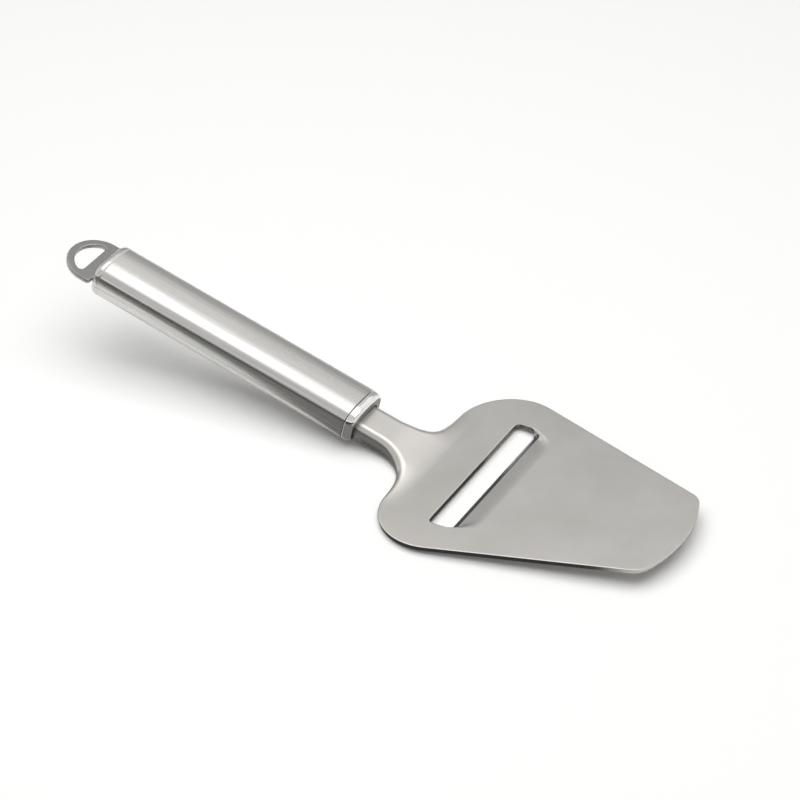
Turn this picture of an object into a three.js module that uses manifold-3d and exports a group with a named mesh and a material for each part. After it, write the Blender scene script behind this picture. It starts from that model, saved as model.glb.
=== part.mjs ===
// Cheese slicer: a stamped spade blade with one slot, on a hollow oval steel handle with a hanging loop.
// Sizes are in millimetres. The blade is drawn in its own frame: the origin is on its top face at the middle
// of the slot's handle-side edge, +X points to the tip, +Y to the side and +Z up.
import * as THREE from "three";
import { mergeVertices } from "three/addons/utils/BufferGeometryUtils.js";
import Module from "manifold-3d";

const wasm = await Module();
wasm.setup();

// Blade sheet and spade outline
const BLADE_THICKNESS = 1.5;
const SPADE_LENGTH = 74.2; // slot's handle-side edge to the tip
const SPADE_WIDTH = 82.5; // across the widest place, beside the slot
const SPADE_TAPER = THREE.MathUtils.degToRad(17.5); // each side edge, towards the tip
const HEEL_RADIUS = 18.3;
const HEEL_SLANT = THREE.MathUtils.degToRad(4); // rear edge of the spade, against a square cut
const TIP_RADIUS = 45;
const TIP_CORNER_RADIUS = 6.5;

// Slot and cutting lip
const SLOT_LENGTH = 57;
const SLOT_WIDTH = 6.9;
const SLOT_CORNER_RADIUS = 1.6;
const LIP_DROP = 1.6;
const LIP_BAND = 9; // how far the dropped hollow reaches towards the tip
const LIP_FADE = 1.6; // how far past the slot's ends the hollow reaches
const LIP_GRIND = 1.2; // width of the ground bevel
const LIP_EDGE = 0.3; // thickness left at the cutting edge

// Neck, an inverted channel that runs from the handle down to the spade
const NECK_WIDTH = 13.6;
const NECK_FILLET_RADIUS = 13; // plan fillet between neck and spade
const NECK_ABOVE_AXIS = 1.6; // neck's top face over the handle's axis
const NECK_DROP_START = 14; // from the handle's front joint to where the neck starts to drop
const NECK_DROP_LENGTH = 16; // over which it comes down to the spade
const ROOT_SPREAD = 28; // from the middle line to where the neck's rise has run out beside its root
const ROOT_FAN = 4; // how far ahead of the rear edge its stations meet the middle line
const FLANGE_AT_HANDLE = 5;
const FLANGE_AT_ROOT = 5;
const BEND_RADIUS = 2; // outside of the neck's bent edges
const INNER_RADIUS = BEND_RADIUS - BLADE_THICKNESS;
const RIM_TURN = THREE.MathUtils.degToRad(10); // slight roll of the sheared rim all round
const RIM_LEG = 0.2;
const TANG_LENGTH = 12; // channel inside the handle, behind the front cap's face

// Handle
const HANDLE_SETBACK = 42.3; // tube's front end behind the slot's edge
const HANDLE_RISE = 8.5; // handle axis above the blade's top face, at the tube's front end
const HANDLE_TILT = THREE.MathUtils.degToRad(16.4); // rear end raised, against the blade
const HANDLE_WIDTH = 19.4;
const HANDLE_HEIGHT = 12.4;
const OVAL_SQUARENESS = 3.2; // exponent of the oval: 2 is an ellipse, more is squarer
const TUBE_LENGTH = 95.4;
const TUBE_WALL = 0.4;
const CAP_LENGTH = 3.2; // what shows beyond the tube, front and rear
const CAP_WALL = 0.5;
const CAP_EDGE_RADIUS = 2.1;
const CAP_SKIRT = 6; // inside the tube

// Hanging loop
const LOOP_THICKNESS = 1.6;
const LOOP_RADIUS = 10.2;
const LOOP_HOLE_RADIUS = 7.6;
const LOOP_BAR = 5; // from the cap's face to the straight edge of the hole
const LOOP_REACH = 14; // from the cap's face to the loop's far end
const LOOP_TANG_WIDTH = 12;
const LOOP_TANG_LENGTH = 9;
const LOOP_EDGE_ROUND = 0.4;

// Weld beads and clearances
const WELD_SIZE = 1.5;
const WELD_LENGTH = 6;
const CLEARANCE = 0.3;

// Fineness of the round stretches
const OVAL_SEGMENTS = 56;
const ARC_SEGMENTS = 8;
const BEND_SEGMENTS = 4;
const CUT_REACH = 30; // half height of the cutting tools, past both faces
const MERGE_DISTANCE = 1e-4; // points nearer than this are one point
const FLAT_SHARES = [0, 0.2, 0.4, 0.55, 0.65, 0.73, 0.81, 0.9]; // stations across the level sheet
const LIP_SHARES = [0, 0.15, 0.35, 0.6, 0.8, 1]; // stations along the dropped hollow
const REAR_SHARES = [0.25, 0.5, 0.75]; // stations along the spade's rear edge
const REST_ROUNDS = 6; // rounds that settle the tool on the table
const BEND_ROUNDS = 6; // rounds that settle where a bend starts
const SLOPE_STEP = 0.05; // distance over which the sheet's slope is taken

const steel = (color, roughness) => new THREE.MeshStandardMaterial({ color, roughness, metalness: 1 });
const SATIN_STEEL = steel(0xb9b6b1, 0.38);
const BRUSHED_STEEL = steel(0xc9c8c5, 0.3);
const POLISHED_STEEL = steel(0xd2d1ce, 0.15);
const WELD_STEEL = steel(0x8f8d89, 0.5);

// Solids

// Signed volume of an indexed geometry, positive when its faces point out.
function signedVolume(position, index) {
  const [a, b, c] = [new THREE.Vector3(), new THREE.Vector3(), new THREE.Vector3()];
  let volume = 0;
  for (let i = 0; i < index.length; i += 3) {
    a.fromBufferAttribute(position, index[i]);
    b.fromBufferAttribute(position, index[i + 1]);
    c.fromBufferAttribute(position, index[i + 2]);
    volume += a.dot(b.cross(c)) / 6;
  }
  return volume;
}

// A closed geometry as a solid, with its faces turned outwards.
function solidOf(geometry) {
  const bare = geometry.clone();
  bare.deleteAttribute("normal");
  bare.deleteAttribute("uv");
  const merged = mergeVertices(bare, MERGE_DISTANCE);
  const triVerts = new Uint32Array(merged.index.array);
  if (signedVolume(merged.attributes.position, triVerts) < 0) triVerts.reverse();
  const vertProperties = new Float32Array(merged.attributes.position.array);
  return new wasm.Manifold(new wasm.Mesh({ numProp: 3, vertProperties, triVerts }));
}

function geometryOf(solid) {
  const mesh = solid.getMesh();
  const geometry = new THREE.BufferGeometry();
  geometry.setAttribute("position", new THREE.BufferAttribute(mesh.vertProperties, 3));
  geometry.setIndex(new THREE.BufferAttribute(mesh.triVerts, 1));
  geometry.computeVertexNormals();
  return geometry;
}

function namedMesh(name, solid, material) {
  const mesh = new THREE.Mesh(geometryOf(solid), material);
  mesh.name = name;
  return mesh;
}

function indexedGeometry(points, triangles) {
  const geometry = new THREE.BufferGeometry().setFromPoints(points);
  geometry.setIndex(triangles);
  return geometry;
}

// A solid through rings of equal count, closed at both ends by fans.
function loft(rings) {
  const count = rings[0].length;
  const points = rings.flat();
  const triangles = [];
  for (let r = 0; r + 1 < rings.length; r++) {
    for (let i = 0; i < count; i++) {
      const a = r * count + i;
      const b = r * count + ((i + 1) % count);
      triangles.push(a, b, b + count, a, b + count, a + count);
    }
  }
  for (const [ring, flip] of [[0, true], [rings.length - 1, false]]) {
    const centre = new THREE.Vector3();
    rings[ring].forEach((p) => centre.addScaledVector(p, 1 / count));
    points.push(centre);
    for (let i = 0; i < count; i++) {
      const a = ring * count + i;
      const b = ring * count + ((i + 1) % count);
      triangles.push(...(flip ? [b, a, points.length - 1] : [a, b, points.length - 1]));
    }
  }
  return solidOf(indexedGeometry(points, triangles));
}

// A solid between two matching grids of points, the two faces of a bent sheet.
function sheet(upper, lower) {
  const rows = upper.length;
  const columns = upper[0].length;
  const points = [...upper.flat(), ...lower.flat()];
  const triangles = [];
  const quad = (a, b, c, d) => triangles.push(a, b, c, a, c, d);
  const up = (row, column) => row * columns + column;
  const low = (row, column) => rows * columns + up(row, column);
  for (let r = 0; r + 1 < rows; r++) {
    for (let c = 0; c + 1 < columns; c++) {
      quad(up(r, c), up(r + 1, c), up(r + 1, c + 1), up(r, c + 1));
      quad(low(r, c), low(r, c + 1), low(r + 1, c + 1), low(r + 1, c));
    }
    quad(up(r, 0), low(r, 0), low(r + 1, 0), up(r + 1, 0));
    quad(up(r, columns - 1), up(r + 1, columns - 1), low(r + 1, columns - 1), low(r, columns - 1));
  }
  for (let c = 0; c + 1 < columns; c++) {
    quad(up(0, c), up(0, c + 1), low(0, c + 1), low(0, c));
    quad(up(rows - 1, c), low(rows - 1, c), low(rows - 1, c + 1), up(rows - 1, c + 1));
  }
  return solidOf(indexedGeometry(points, triangles));
}

// A shape extruded upwards from the height given.
function extrude(shape, bottom, height) {
  const geometry = new THREE.ExtrudeGeometry(shape, {
    depth: height,
    bevelEnabled: false,
    curveSegments: ARC_SEGMENTS,
  });
  return solidOf(geometry.translate(0, 0, bottom));
}

// A shape drawn in X and Z, extruded evenly to both sides along Y.
function extrudeAcross(shape, width) {
  const geometry = new THREE.ExtrudeGeometry(shape, {
    depth: width,
    bevelEnabled: false,
    curveSegments: ARC_SEGMENTS,
  });
  return solidOf(geometry.translate(0, 0, -width / 2).rotateX(Math.PI / 2));
}

// Blade

const neckHalfWidth = NECK_WIDTH / 2;
const heelCentre = new THREE.Vector2(0, SPADE_WIDTH / 2 - HEEL_RADIUS);

// A point of an arc that turns clockwise, where its direction of travel has the angle given.
function arcPoint(centre, radius, heading) {
  return new THREE.Vector2(centre.x - radius * Math.sin(heading), centre.y + radius * Math.cos(heading));
}

// Stations along an arc: places on the rim, each with its direction of travel.
function arc(centre, radius, fromHeading, toHeading, segments) {
  return Array.from({ length: segments + 1 }, (_, i) => {
    const heading = THREE.MathUtils.lerp(fromHeading, toHeading, i / segments);
    return { rim: arcPoint(centre, radius, heading), heading };
  });
}

// Centre of the tip's corner: inside the side edge by its radius, and touching the tip's arc from inside.
function tipCornerCentre(tipCentre) {
  const start = arcPoint(heelCentre, HEEL_RADIUS - TIP_CORNER_RADIUS, -SPADE_TAPER);
  const along = new THREE.Vector2(Math.cos(SPADE_TAPER), -Math.sin(SPADE_TAPER));
  const offset = start.clone().sub(tipCentre);
  const half = offset.dot(along);
  const gap = (TIP_RADIUS - TIP_CORNER_RADIUS) ** 2 - offset.lengthSq();
  return start.addScaledVector(along, -half + Math.sqrt(half * half + gap));
}

// Half outline of the spade and neck root, from the neck to the tip. X grows all along it.
function spadeOutline() {
  const heelHeading = Math.PI / 2 - HEEL_SLANT;
  const heel = arc(heelCentre, HEEL_RADIUS, heelHeading, -SPADE_TAPER, 2 * ARC_SEGMENTS);
  const heelStart = heel[0].rim;
  const filletEndY = neckHalfWidth + NECK_FILLET_RADIUS * (1 - Math.cos(heelHeading));
  const filletEndX = heelStart.x - (heelStart.y - filletEndY) * Math.tan(HEEL_SLANT);
  const filletCentre = new THREE.Vector2(
    filletEndX - NECK_FILLET_RADIUS * Math.sin(heelHeading),
    neckHalfWidth + NECK_FILLET_RADIUS,
  );
  const fillet = arc(filletCentre, -NECK_FILLET_RADIUS, 0, heelHeading, ARC_SEGMENTS);
  const tipCentre = new THREE.Vector2(SPADE_LENGTH - TIP_RADIUS, 0);
  const cornerCentre = tipCornerCentre(tipCentre);
  const tipHeading = cornerCentre.clone().sub(tipCentre).angle() - Math.PI / 2;
  const corner = arc(cornerCentre, TIP_CORNER_RADIUS, -SPADE_TAPER, tipHeading, ARC_SEGMENTS);
  const halfStep = 0.5 / ARC_SEGMENTS; // the tip's last station stops short of the middle line
  const lastHeading = THREE.MathUtils.lerp(tipHeading, -Math.PI / 2, 1 - halfStep);
  const tip = arc(tipCentre, TIP_RADIUS, tipHeading, lastHeading, ARC_SEGMENTS);
  return { fillet, heel, corner, tip };
}

// Stations on the straight rim between two others, at shares of the way. Both ends are left out.
function between(start, end, shares) {
  return shares
    .filter((share) => share > 0 && share < 1)
    .map((share) => ({ rim: start.rim.clone().lerp(end.rim, share), heading: end.heading }));
}

const handleFrontX = -HANDLE_SETBACK;
const neckDropStartX = handleFrontX + NECK_DROP_START;
const neckDropEndX = neckDropStartX + NECK_DROP_LENGTH;
const capFaceX = handleFrontX + CAP_LENGTH * Math.cos(HANDLE_TILT);
const tangEndX = capFaceX - TANG_LENGTH * Math.cos(HANDLE_TILT);

// Height of the neck's straight stretch, which runs along the handle's axis.
function neckLine(x) {
  const above = NECK_ABOVE_AXIS / Math.cos(HANDLE_TILT);
  return HANDLE_RISE + above - (x - handleFrontX) * Math.tan(HANDLE_TILT);
}

// Height of the sheet's top face: along the handle, then a smooth drop, then level over the spade.
function topHeight(x) {
  if (x <= neckDropStartX) return neckLine(x);
  if (x >= neckDropEndX) return 0;
  const t = (x - neckDropStartX) / NECK_DROP_LENGTH;
  const startSlope = -Math.tan(HANDLE_TILT) * NECK_DROP_LENGTH;
  return neckLine(neckDropStartX) * (1 - 3 * t * t + 2 * t ** 3) + startSlope * t * (1 - t) ** 2;
}

// Height of the sheet's top face at any place. Beside the neck's root its rise runs out along the rear edge.
function sheetHeight(x, y) {
  return topHeight(x) * (1 - THREE.MathUtils.smoothstep(Math.abs(y), neckHalfWidth, ROOT_SPREAD));
}

// Depth of the turned-down edge, which runs out as the sheet comes down to the spade.
function edgeDepth(x, y) {
  if (x <= neckDropStartX) {
    const fromCap = Math.max(x, capFaceX);
    return THREE.MathUtils.mapLinear(fromCap, capFaceX, neckDropStartX, FLANGE_AT_HANDLE, FLANGE_AT_ROOT);
  }
  const share = Math.max(sheetHeight(x, y), 0) / neckLine(neckDropStartX);
  return THREE.MathUtils.lerp(BLADE_THICKNESS, FLANGE_AT_ROOT, share);
}

// How the sheet bends down at a place on the rim: where the bend starts, the sheet's own slope there, how far
// it turns and the straight leg after it. The start's place and the depth settle each other in a few rounds.
function rimBend(rim, out) {
  const bottom = sheetHeight(rim.x, rim.y) - edgeDepth(rim.x, rim.y);
  const bent = { start: rim.clone(), lift: 0, bend: RIM_TURN, leg: RIM_LEG };
  for (let round = 0; round < BEND_ROUNDS; round++) {
    bent.lift = Math.atan(outwardSlope(bent.start, out));
    const spare = BEND_RADIUS * Math.cos(bent.lift) - sheetHeight(bent.start.x, bent.start.y) + bottom;
    const turn = Math.acos(THREE.MathUtils.clamp(spare / INNER_RADIUS, 0, 1));
    bent.bend = Math.max(turn, RIM_TURN);
    bent.leg = Math.max(-spare, RIM_LEG);
    const reach = BEND_RADIUS * (Math.sin(bent.bend) + Math.sin(bent.lift)) + bent.leg * Math.cos(bent.bend);
    bent.start = rim.clone().addScaledVector(out, -reach);
  }
  return bent;
}

// Both faces of the sheet across one station: out from the middle line, then bent down square to the rim.
// Growing it all round by a clearance gives the hole that the sheet passes through.
function sheetSection({ rim, heading }, grow = 0) {
  const facing = Math.max(heading, 0);
  const out = new THREE.Vector2(-Math.sin(facing), Math.cos(facing));
  const { start, lift, bend, leg } = rimBend(rim, out);
  const startHeight = sheetHeight(start.x, start.y);
  const legEnd = leg + grow;
  const middle = new THREE.Vector2(rim.x + ROOT_FAN * Math.sin(facing), 0);
  const face = (radius) => {
    const half = FLAT_SHARES.map((share) => {
      const place = middle.clone().lerp(start, share);
      return new THREE.Vector3(place.x, place.y, sheetHeight(place.x, place.y) + radius - BEND_RADIUS);
    });
    const push = (along, height) => {
      const place = start.clone().addScaledVector(out, along);
      half.push(new THREE.Vector3(place.x, place.y, startHeight + height));
    };
    const alongAt = (angle) => BEND_RADIUS * Math.sin(lift) + radius * Math.sin(angle);
    const heightAt = (angle) => radius * Math.cos(angle) - BEND_RADIUS * Math.cos(lift);
    for (let i = 0; i <= BEND_SEGMENTS; i++) {
      const angle = THREE.MathUtils.lerp(-lift, bend, i / BEND_SEGMENTS);
      push(alongAt(angle), heightAt(angle));
    }
    push(alongAt(bend) + legEnd * Math.cos(bend), heightAt(bend) - legEnd * Math.sin(bend));
    const mirrored = half.slice(1).reverse();
    return [...mirrored.map((p) => new THREE.Vector3(p.x, -p.y, p.z)), ...half];
  };
  return { upper: face(BEND_RADIUS + grow), lower: face(INNER_RADIUS - grow) };
}

// Slope of the sheet's top face at a place, in the direction given.
function outwardSlope(place, out) {
  const ahead = place.clone().addScaledVector(out, SLOPE_STEP);
  const behind = place.clone().addScaledVector(out, -SLOPE_STEP);
  return (sheetHeight(ahead.x, ahead.y) - sheetHeight(behind.x, behind.y)) / (2 * SLOPE_STEP);
}

// How far the sheet is pressed down beside the slot, deepest at the cutting edge.
function lipDepth(x, y) {
  const fromEdge = (x - SLOT_WIDTH) / (x < SLOT_WIDTH ? SLOT_WIDTH : LIP_BAND);
  const pastEnd = (Math.abs(y) - SLOT_LENGTH / 2 + LIP_FADE) / (2 * LIP_FADE);
  const along = THREE.MathUtils.smoothstep(1 - Math.abs(fromEdge), 0, 1);
  return LIP_DROP * along * THREE.MathUtils.smoothstep(1 - pastEnd, 0, 1);
}

function makeBlade() {
  const { fillet, heel, corner, tip } = spadeOutline();
  const [sideStart, sideEnd] = [heel.at(-1), corner[0]];
  const lipStations = LIP_SHARES.map((share) => SLOT_WIDTH + share * LIP_BAND);
  const middle = (SLOT_WIDTH + LIP_BAND + sideEnd.rim.x) / 2;
  const sideLength = sideEnd.rim.x - sideStart.rim.x;
  const alongSide = [...lipStations, middle].map((x) => (x - sideStart.rim.x) / sideLength);
  const neck = [tangEndX, capFaceX, neckDropStartX]
    .filter((x) => x < fillet[0].rim.x)
    .map((x) => ({ rim: new THREE.Vector2(x, neckHalfWidth), heading: 0 }));
  const stations = [
    ...neck,
    ...fillet,
    ...between(fillet.at(-1), heel[0], REAR_SHARES),
    ...heel,
    ...between(sideStart, sideEnd, alongSide),
    ...corner,
    ...tip.slice(1),
  ];
  const sections = stations.map((station) => sheetSection(station));
  for (const point of sections.flatMap((s) => [...s.upper, ...s.lower])) {
    point.z -= lipDepth(point.x, point.y);
  }
  const formed = sheet(sections.map((s) => s.upper), sections.map((s) => s.lower));
  return formed.subtract(slotCutter()).subtract(lipGrinder());
}

// The punched slot, a long opening with rounded corners.
function slotCutter() {
  const half = SLOT_LENGTH / 2;
  const round = SLOT_CORNER_RADIUS;
  const shape = new THREE.Shape();
  shape.moveTo(round, -half);
  shape.lineTo(SLOT_WIDTH - round, -half);
  shape.absarc(SLOT_WIDTH - round, round - half, round, -Math.PI / 2, 0);
  shape.absarc(SLOT_WIDTH - round, half - round, round, 0, Math.PI / 2);
  shape.absarc(round, half - round, round, Math.PI / 2, Math.PI);
  shape.absarc(round, round - half, round, Math.PI, 1.5 * Math.PI);
  return extrude(shape, -CUT_REACH, 2 * CUT_REACH);
}

// The wedge that is ground off the lip's top face to leave the cutting edge.
function lipGrinder() {
  const bevelEndX = SLOT_WIDTH + LIP_GRIND;
  const edgeZ = LIP_EDGE - LIP_DROP - BLADE_THICKNESS;
  const bevelEndZ = -lipDepth(bevelEndX, 0);
  const shape = new THREE.Shape();
  shape.moveTo(SLOT_WIDTH - SLOT_CORNER_RADIUS, edgeZ);
  shape.lineTo(SLOT_WIDTH, edgeZ);
  shape.lineTo(bevelEndX, bevelEndZ);
  shape.lineTo(bevelEndX, BLADE_THICKNESS);
  shape.lineTo(SLOT_WIDTH - SLOT_CORNER_RADIUS, BLADE_THICKNESS);
  return extrudeAcross(shape, SLOT_LENGTH - 2 * SLOT_CORNER_RADIUS);
}

// Handle, drawn in its own frame: the origin on its axis at the tube's front end, +X forwards along the axis.

const capInset = TUBE_WALL + CLEARANCE; // skirt's outside, in from the tube's outside
const capInside = CAP_LENGTH - CAP_WALL; // inner side of a cap's face, beyond the tube's end
const rearEndX = -TUBE_LENGTH;
const rearFaceX = rearEndX - CAP_LENGTH;

// The handle's oval at a place on its axis, drawn in from the outside by an inset.
function ovalRing(x, inset) {
  const halfWidth = HANDLE_WIDTH / 2 - inset;
  const halfHeight = HANDLE_HEIGHT / 2 - inset;
  const squared = (value) => Math.sign(value) * Math.abs(value) ** (2 / OVAL_SQUARENESS);
  return Array.from({ length: OVAL_SEGMENTS }, (_, i) => {
    const angle = (2 * Math.PI * i) / OVAL_SEGMENTS;
    const y = halfWidth * squared(Math.cos(angle));
    const z = halfHeight * squared(Math.sin(angle));
    return new THREE.Vector3(x, y, z);
  });
}

function makeTube() {
  const outer = loft([ovalRing(0, 0), ovalRing(rearEndX, 0)]);
  const inner = loft([ovalRing(CLEARANCE, TUBE_WALL), ovalRing(rearEndX - CLEARANCE, TUBE_WALL)]);
  return outer.subtract(inner);
}

// A drawn cup: face, rounded edge, band beyond the tube and skirt inside it. It faces +X from the tube's end.
function makeCup() {
  const edge = Array.from({ length: BEND_SEGMENTS + 1 }, (_, i) => {
    const angle = ((Math.PI / 2) * i) / BEND_SEGMENTS;
    const x = CAP_LENGTH - CAP_EDGE_RADIUS * (1 - Math.cos(angle));
    return ovalRing(x, CAP_EDGE_RADIUS * (1 - Math.sin(angle)));
  });
  return loft([
    ...edge,
    ovalRing(CLEARANCE, 0),
    ovalRing(CLEARANCE, capInset),
    ovalRing(-CAP_SKIRT, capInset),
    ovalRing(-CAP_SKIRT, capInset + CAP_WALL),
    ovalRing(capInside - CAP_EDGE_RADIUS / 2, capInset + CAP_WALL),
    ovalRing(capInside, CAP_EDGE_RADIUS + CAP_WALL),
  ]);
}

// The neck's channel grown by the clearance, in the blade's frame: the opening punched in the front cap.
function neckOpening() {
  const ends = [tangEndX - CAP_SKIRT, capFaceX + CAP_LENGTH];
  const sections = ends.map((x) =>
    sheetSection({ rim: new THREE.Vector2(x, neckHalfWidth), heading: 0 }, CLEARANCE),
  );
  return sheet(sections.map((s) => s.upper), sections.map((s) => s.lower));
}

function makeFrontCap(handleMatrix) {
  const toHandle = handleMatrix.clone().invert();
  return makeCup().subtract(solidOf(geometryOf(neckOpening()).applyMatrix4(toHandle)));
}

function loopTangOutline(grow) {
  const halfWidth = LOOP_TANG_WIDTH / 2 + grow;
  const shape = new THREE.Shape();
  shape.moveTo(rearFaceX - grow, -halfWidth);
  shape.lineTo(rearFaceX + LOOP_TANG_LENGTH + grow, -halfWidth);
  shape.lineTo(rearFaceX + LOOP_TANG_LENGTH + grow, halfWidth);
  shape.lineTo(rearFaceX - grow, halfWidth);
  return shape;
}

function makeRearCap() {
  const turned = geometryOf(makeCup()).rotateZ(Math.PI).translate(rearEndX, 0, 0);
  const opening = LOOP_THICKNESS + 2 * CLEARANCE;
  return solidOf(turned).subtract(extrude(loopTangOutline(CLEARANCE), -opening / 2, opening));
}

// The D-shaped plate: tang, square shoulders, round end and hole, with its punched edges rounded over.
function makeLoop() {
  const shoulderX = rearFaceX - CLEARANCE;
  const centreX = rearFaceX - LOOP_REACH + LOOP_RADIUS;
  const barX = rearFaceX - LOOP_BAR;
  const inset = LOOP_EDGE_ROUND;
  const tangEnd = rearFaceX + LOOP_TANG_LENGTH - inset;
  const tangHalf = LOOP_TANG_WIDTH / 2 - inset;
  const outerRadius = LOOP_RADIUS - inset;
  const holeRadius = LOOP_HOLE_RADIUS + inset;
  const shape = new THREE.Shape();
  shape.moveTo(tangEnd, tangHalf);
  shape.lineTo(shoulderX - inset, tangHalf);
  shape.lineTo(shoulderX - inset, outerRadius);
  shape.absarc(centreX, 0, outerRadius, Math.PI / 2, 1.5 * Math.PI);
  shape.lineTo(shoulderX - inset, -outerRadius);
  shape.lineTo(shoulderX - inset, -tangHalf);
  shape.lineTo(tangEnd, -tangHalf);
  const barAngle = Math.acos((barX + inset - centreX) / holeRadius);
  const hole = new THREE.Path();
  hole.absarc(centreX, 0, holeRadius, barAngle, 2 * Math.PI - barAngle);
  shape.holes.push(hole);
  const geometry = new THREE.ExtrudeGeometry(shape, {
    depth: LOOP_THICKNESS - 2 * inset,
    bevelThickness: inset,
    bevelSize: inset,
    bevelSegments: 2,
    curveSegments: 3 * ARC_SEGMENTS,
  });
  return solidOf(geometry.translate(0, 0, inset - LOOP_THICKNESS / 2));
}

// A weld bead with a quarter-round section, in the corner between a tang's underside and a cap's inner face.
function makeWeld(faceX, underside, towards) {
  const cornerX = faceX + towards * CLEARANCE;
  const cornerZ = underside - CLEARANCE;
  const shape = new THREE.Shape();
  shape.moveTo(cornerX, cornerZ);
  shape.lineTo(cornerX + towards * WELD_SIZE, cornerZ);
  shape.quadraticCurveTo(cornerX, cornerZ, cornerX, cornerZ - WELD_SIZE);
  return extrudeAcross(shape, WELD_LENGTH);
}

// Assembly

const handle = new THREE.Group();
handle.position.set(handleFrontX, 0, HANDLE_RISE);
handle.rotation.y = HANDLE_TILT;
handle.updateMatrix();

const blade = namedMesh("blade", makeBlade(), SATIN_STEEL);
handle.add(
  namedMesh("handle_tube", makeTube(), BRUSHED_STEEL),
  namedMesh("front_cap", makeFrontCap(handle.matrix), POLISHED_STEEL),
  namedMesh("rear_cap", makeRearCap(), POLISHED_STEEL),
  namedMesh("hanging_loop", makeLoop(), SATIN_STEEL),
  namedMesh("neck_weld", makeWeld(capInside, NECK_ABOVE_AXIS - BLADE_THICKNESS, -1), WELD_STEEL),
  namedMesh("loop_weld", makeWeld(rearEndX - capInside, -LOOP_THICKNESS / 2, 1), WELD_STEEL),
);

// The lowest place of the blade, ahead of the slot's edge or behind it, once the tool is turned about Y.
function lowestPlace(turn, ahead) {
  const position = blade.geometry.attributes.position;
  const rotation = new THREE.Matrix4().makeRotationY(turn);
  const point = new THREE.Vector3();
  let lowest = null;
  for (let i = 0; i < position.count; i++) {
    point.fromBufferAttribute(position, i);
    if (point.x > 0 !== ahead) continue;
    const height = point.clone().applyMatrix4(rotation).z;
    if (lowest === null || height < lowest.height) lowest = { height, place: point.clone() };
  }
  return lowest.place;
}

// On a table the tool lies on the spade's heel and its dropped lip, so it is turned until both touch.
let restTurn = 0;
for (let round = 0; round < REST_ROUNDS; round++) {
  const lip = lowestPlace(restTurn, true);
  const heel = lowestPlace(restTurn, false);
  restTurn = Math.atan((lip.z - heel.z) / (lip.x - heel.x));
}
const tool = new THREE.Group();
tool.add(blade, handle);
tool.rotation.y = restTurn;

// The part's origin is under the middle of its box, on the table.
const part = new THREE.Group();
part.add(tool);
part.updateMatrixWorld(true);
const box = new THREE.Box3().setFromObject(tool, true);
const middle = box.getCenter(new THREE.Vector3());
tool.position.set(-middle.x, -middle.y, -box.min.z);

export default part;
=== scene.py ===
"""Dresses the packed cheese slicer, a stamped steel blade on a hollow oval handle, on a white stage."""
import math

import bmesh
import bpy
from bpy.props import FloatProperty, FloatVectorProperty, PointerProperty
from mathutils import Matrix, Vector


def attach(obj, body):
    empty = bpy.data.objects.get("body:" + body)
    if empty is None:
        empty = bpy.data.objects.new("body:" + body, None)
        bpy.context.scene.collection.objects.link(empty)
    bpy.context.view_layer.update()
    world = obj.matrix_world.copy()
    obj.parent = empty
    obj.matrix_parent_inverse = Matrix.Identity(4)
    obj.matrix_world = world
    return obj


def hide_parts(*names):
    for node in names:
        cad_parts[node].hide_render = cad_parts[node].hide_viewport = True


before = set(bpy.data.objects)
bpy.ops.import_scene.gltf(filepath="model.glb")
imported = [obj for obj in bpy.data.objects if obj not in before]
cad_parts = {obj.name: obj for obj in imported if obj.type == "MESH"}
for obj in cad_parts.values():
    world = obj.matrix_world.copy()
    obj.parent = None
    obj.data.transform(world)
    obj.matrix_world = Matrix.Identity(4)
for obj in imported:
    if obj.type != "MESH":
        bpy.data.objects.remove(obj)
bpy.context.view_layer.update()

bl_info = {
    "name": "Cheese slicer",
    "version": (1, 0, 0),
    "blender": (4, 5, 0),
    "location": "3D View > Sidebar > Slicer",
    "description": "Models a steel cheese slicer around its packed solids, on a white studio stage",
    "category": "Add Mesh",
}

MM = 0.001
BODY = "root"

# Steps of the blade's mesh along its rim
NECK_STEPS = 10
ARC_STEPS = 24
REAR_STEPS = 10
HEEL_STEPS = 48
GRIND_STEPS = 4
LIP_STEPS = 22
SIDE_STEPS = 6

# Steps of the blade's mesh across it, close together between the two shares, where the lip's hollow ends
FLAT_STEPS = 20
LIP_END_STEPS = 24
LIP_END_SHARES = (0.64, 0.78)
OUTER_STEPS = 10

# Steps of the round forms: bends, corners, the oval, the loop and rounded edges
BEND_STEPS = 10
CORNER_CUTS = 5
OVAL_STEPS = 160
CAP_STEPS = 12
LOOP_STEPS = 64
EDGE_STEPS = 2

# Rounds and distances that the modelling works with
SETTLING_ROUNDS = 8
SLOPE_STEP = 0.05 * MM
TOUCH = 1e-7
SAME_PLACE = 0.01 * MM
GRID_HALF = 0.5

# Edges that turn by more than this are sharp, and faces whose normals rise by more than this are level
SHARP = math.radians(50)
LEVEL = 0.5

# Attributes of the blade's mesh: painted shade on its top edges, which dims the line of light along them, and
# a painted highlight on its rim round the tip
EDGE_SHADE = "edge_shade"
TIP_HIGHLIGHT = "painted_highlight"

# Grain of the steel: its layers, the weight of the finer ones, and the values that count as its two ends
GRAIN_LAYERS = 3.0
GRAIN_WEIGHT = 0.6
GRAIN_LOW = 0.3
GRAIN_HIGH = 0.7

# Studio: lengths in metres, and how far a direction rises where the dome's fade to grey starts and ends
TABLE_SIZE = 8.0
STUDIO_WIDTH = 5.0
CARD_HEIGHT = 0.1 * MM
CARD_SPACE = 0.05
CLIP_START = 0.01
DOME_WHITE = 0.2
DOME_GREY = 0.8


def length(name, description, millimetres):
    """A length for the panel, given in millimetres."""
    return FloatProperty(name=name, description=description, default=millimetres * MM, unit="LENGTH",
                         precision=5)


def angle(name, description, degrees):
    """An angle for the panel, given in degrees."""
    return FloatProperty(name=name, description=description, default=math.radians(degrees), unit="ROTATION")


def metres(name, description, value):
    """A length of the studio for the panel, given in metres."""
    return FloatProperty(name=name, description=description, default=value, unit="LENGTH")


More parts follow.
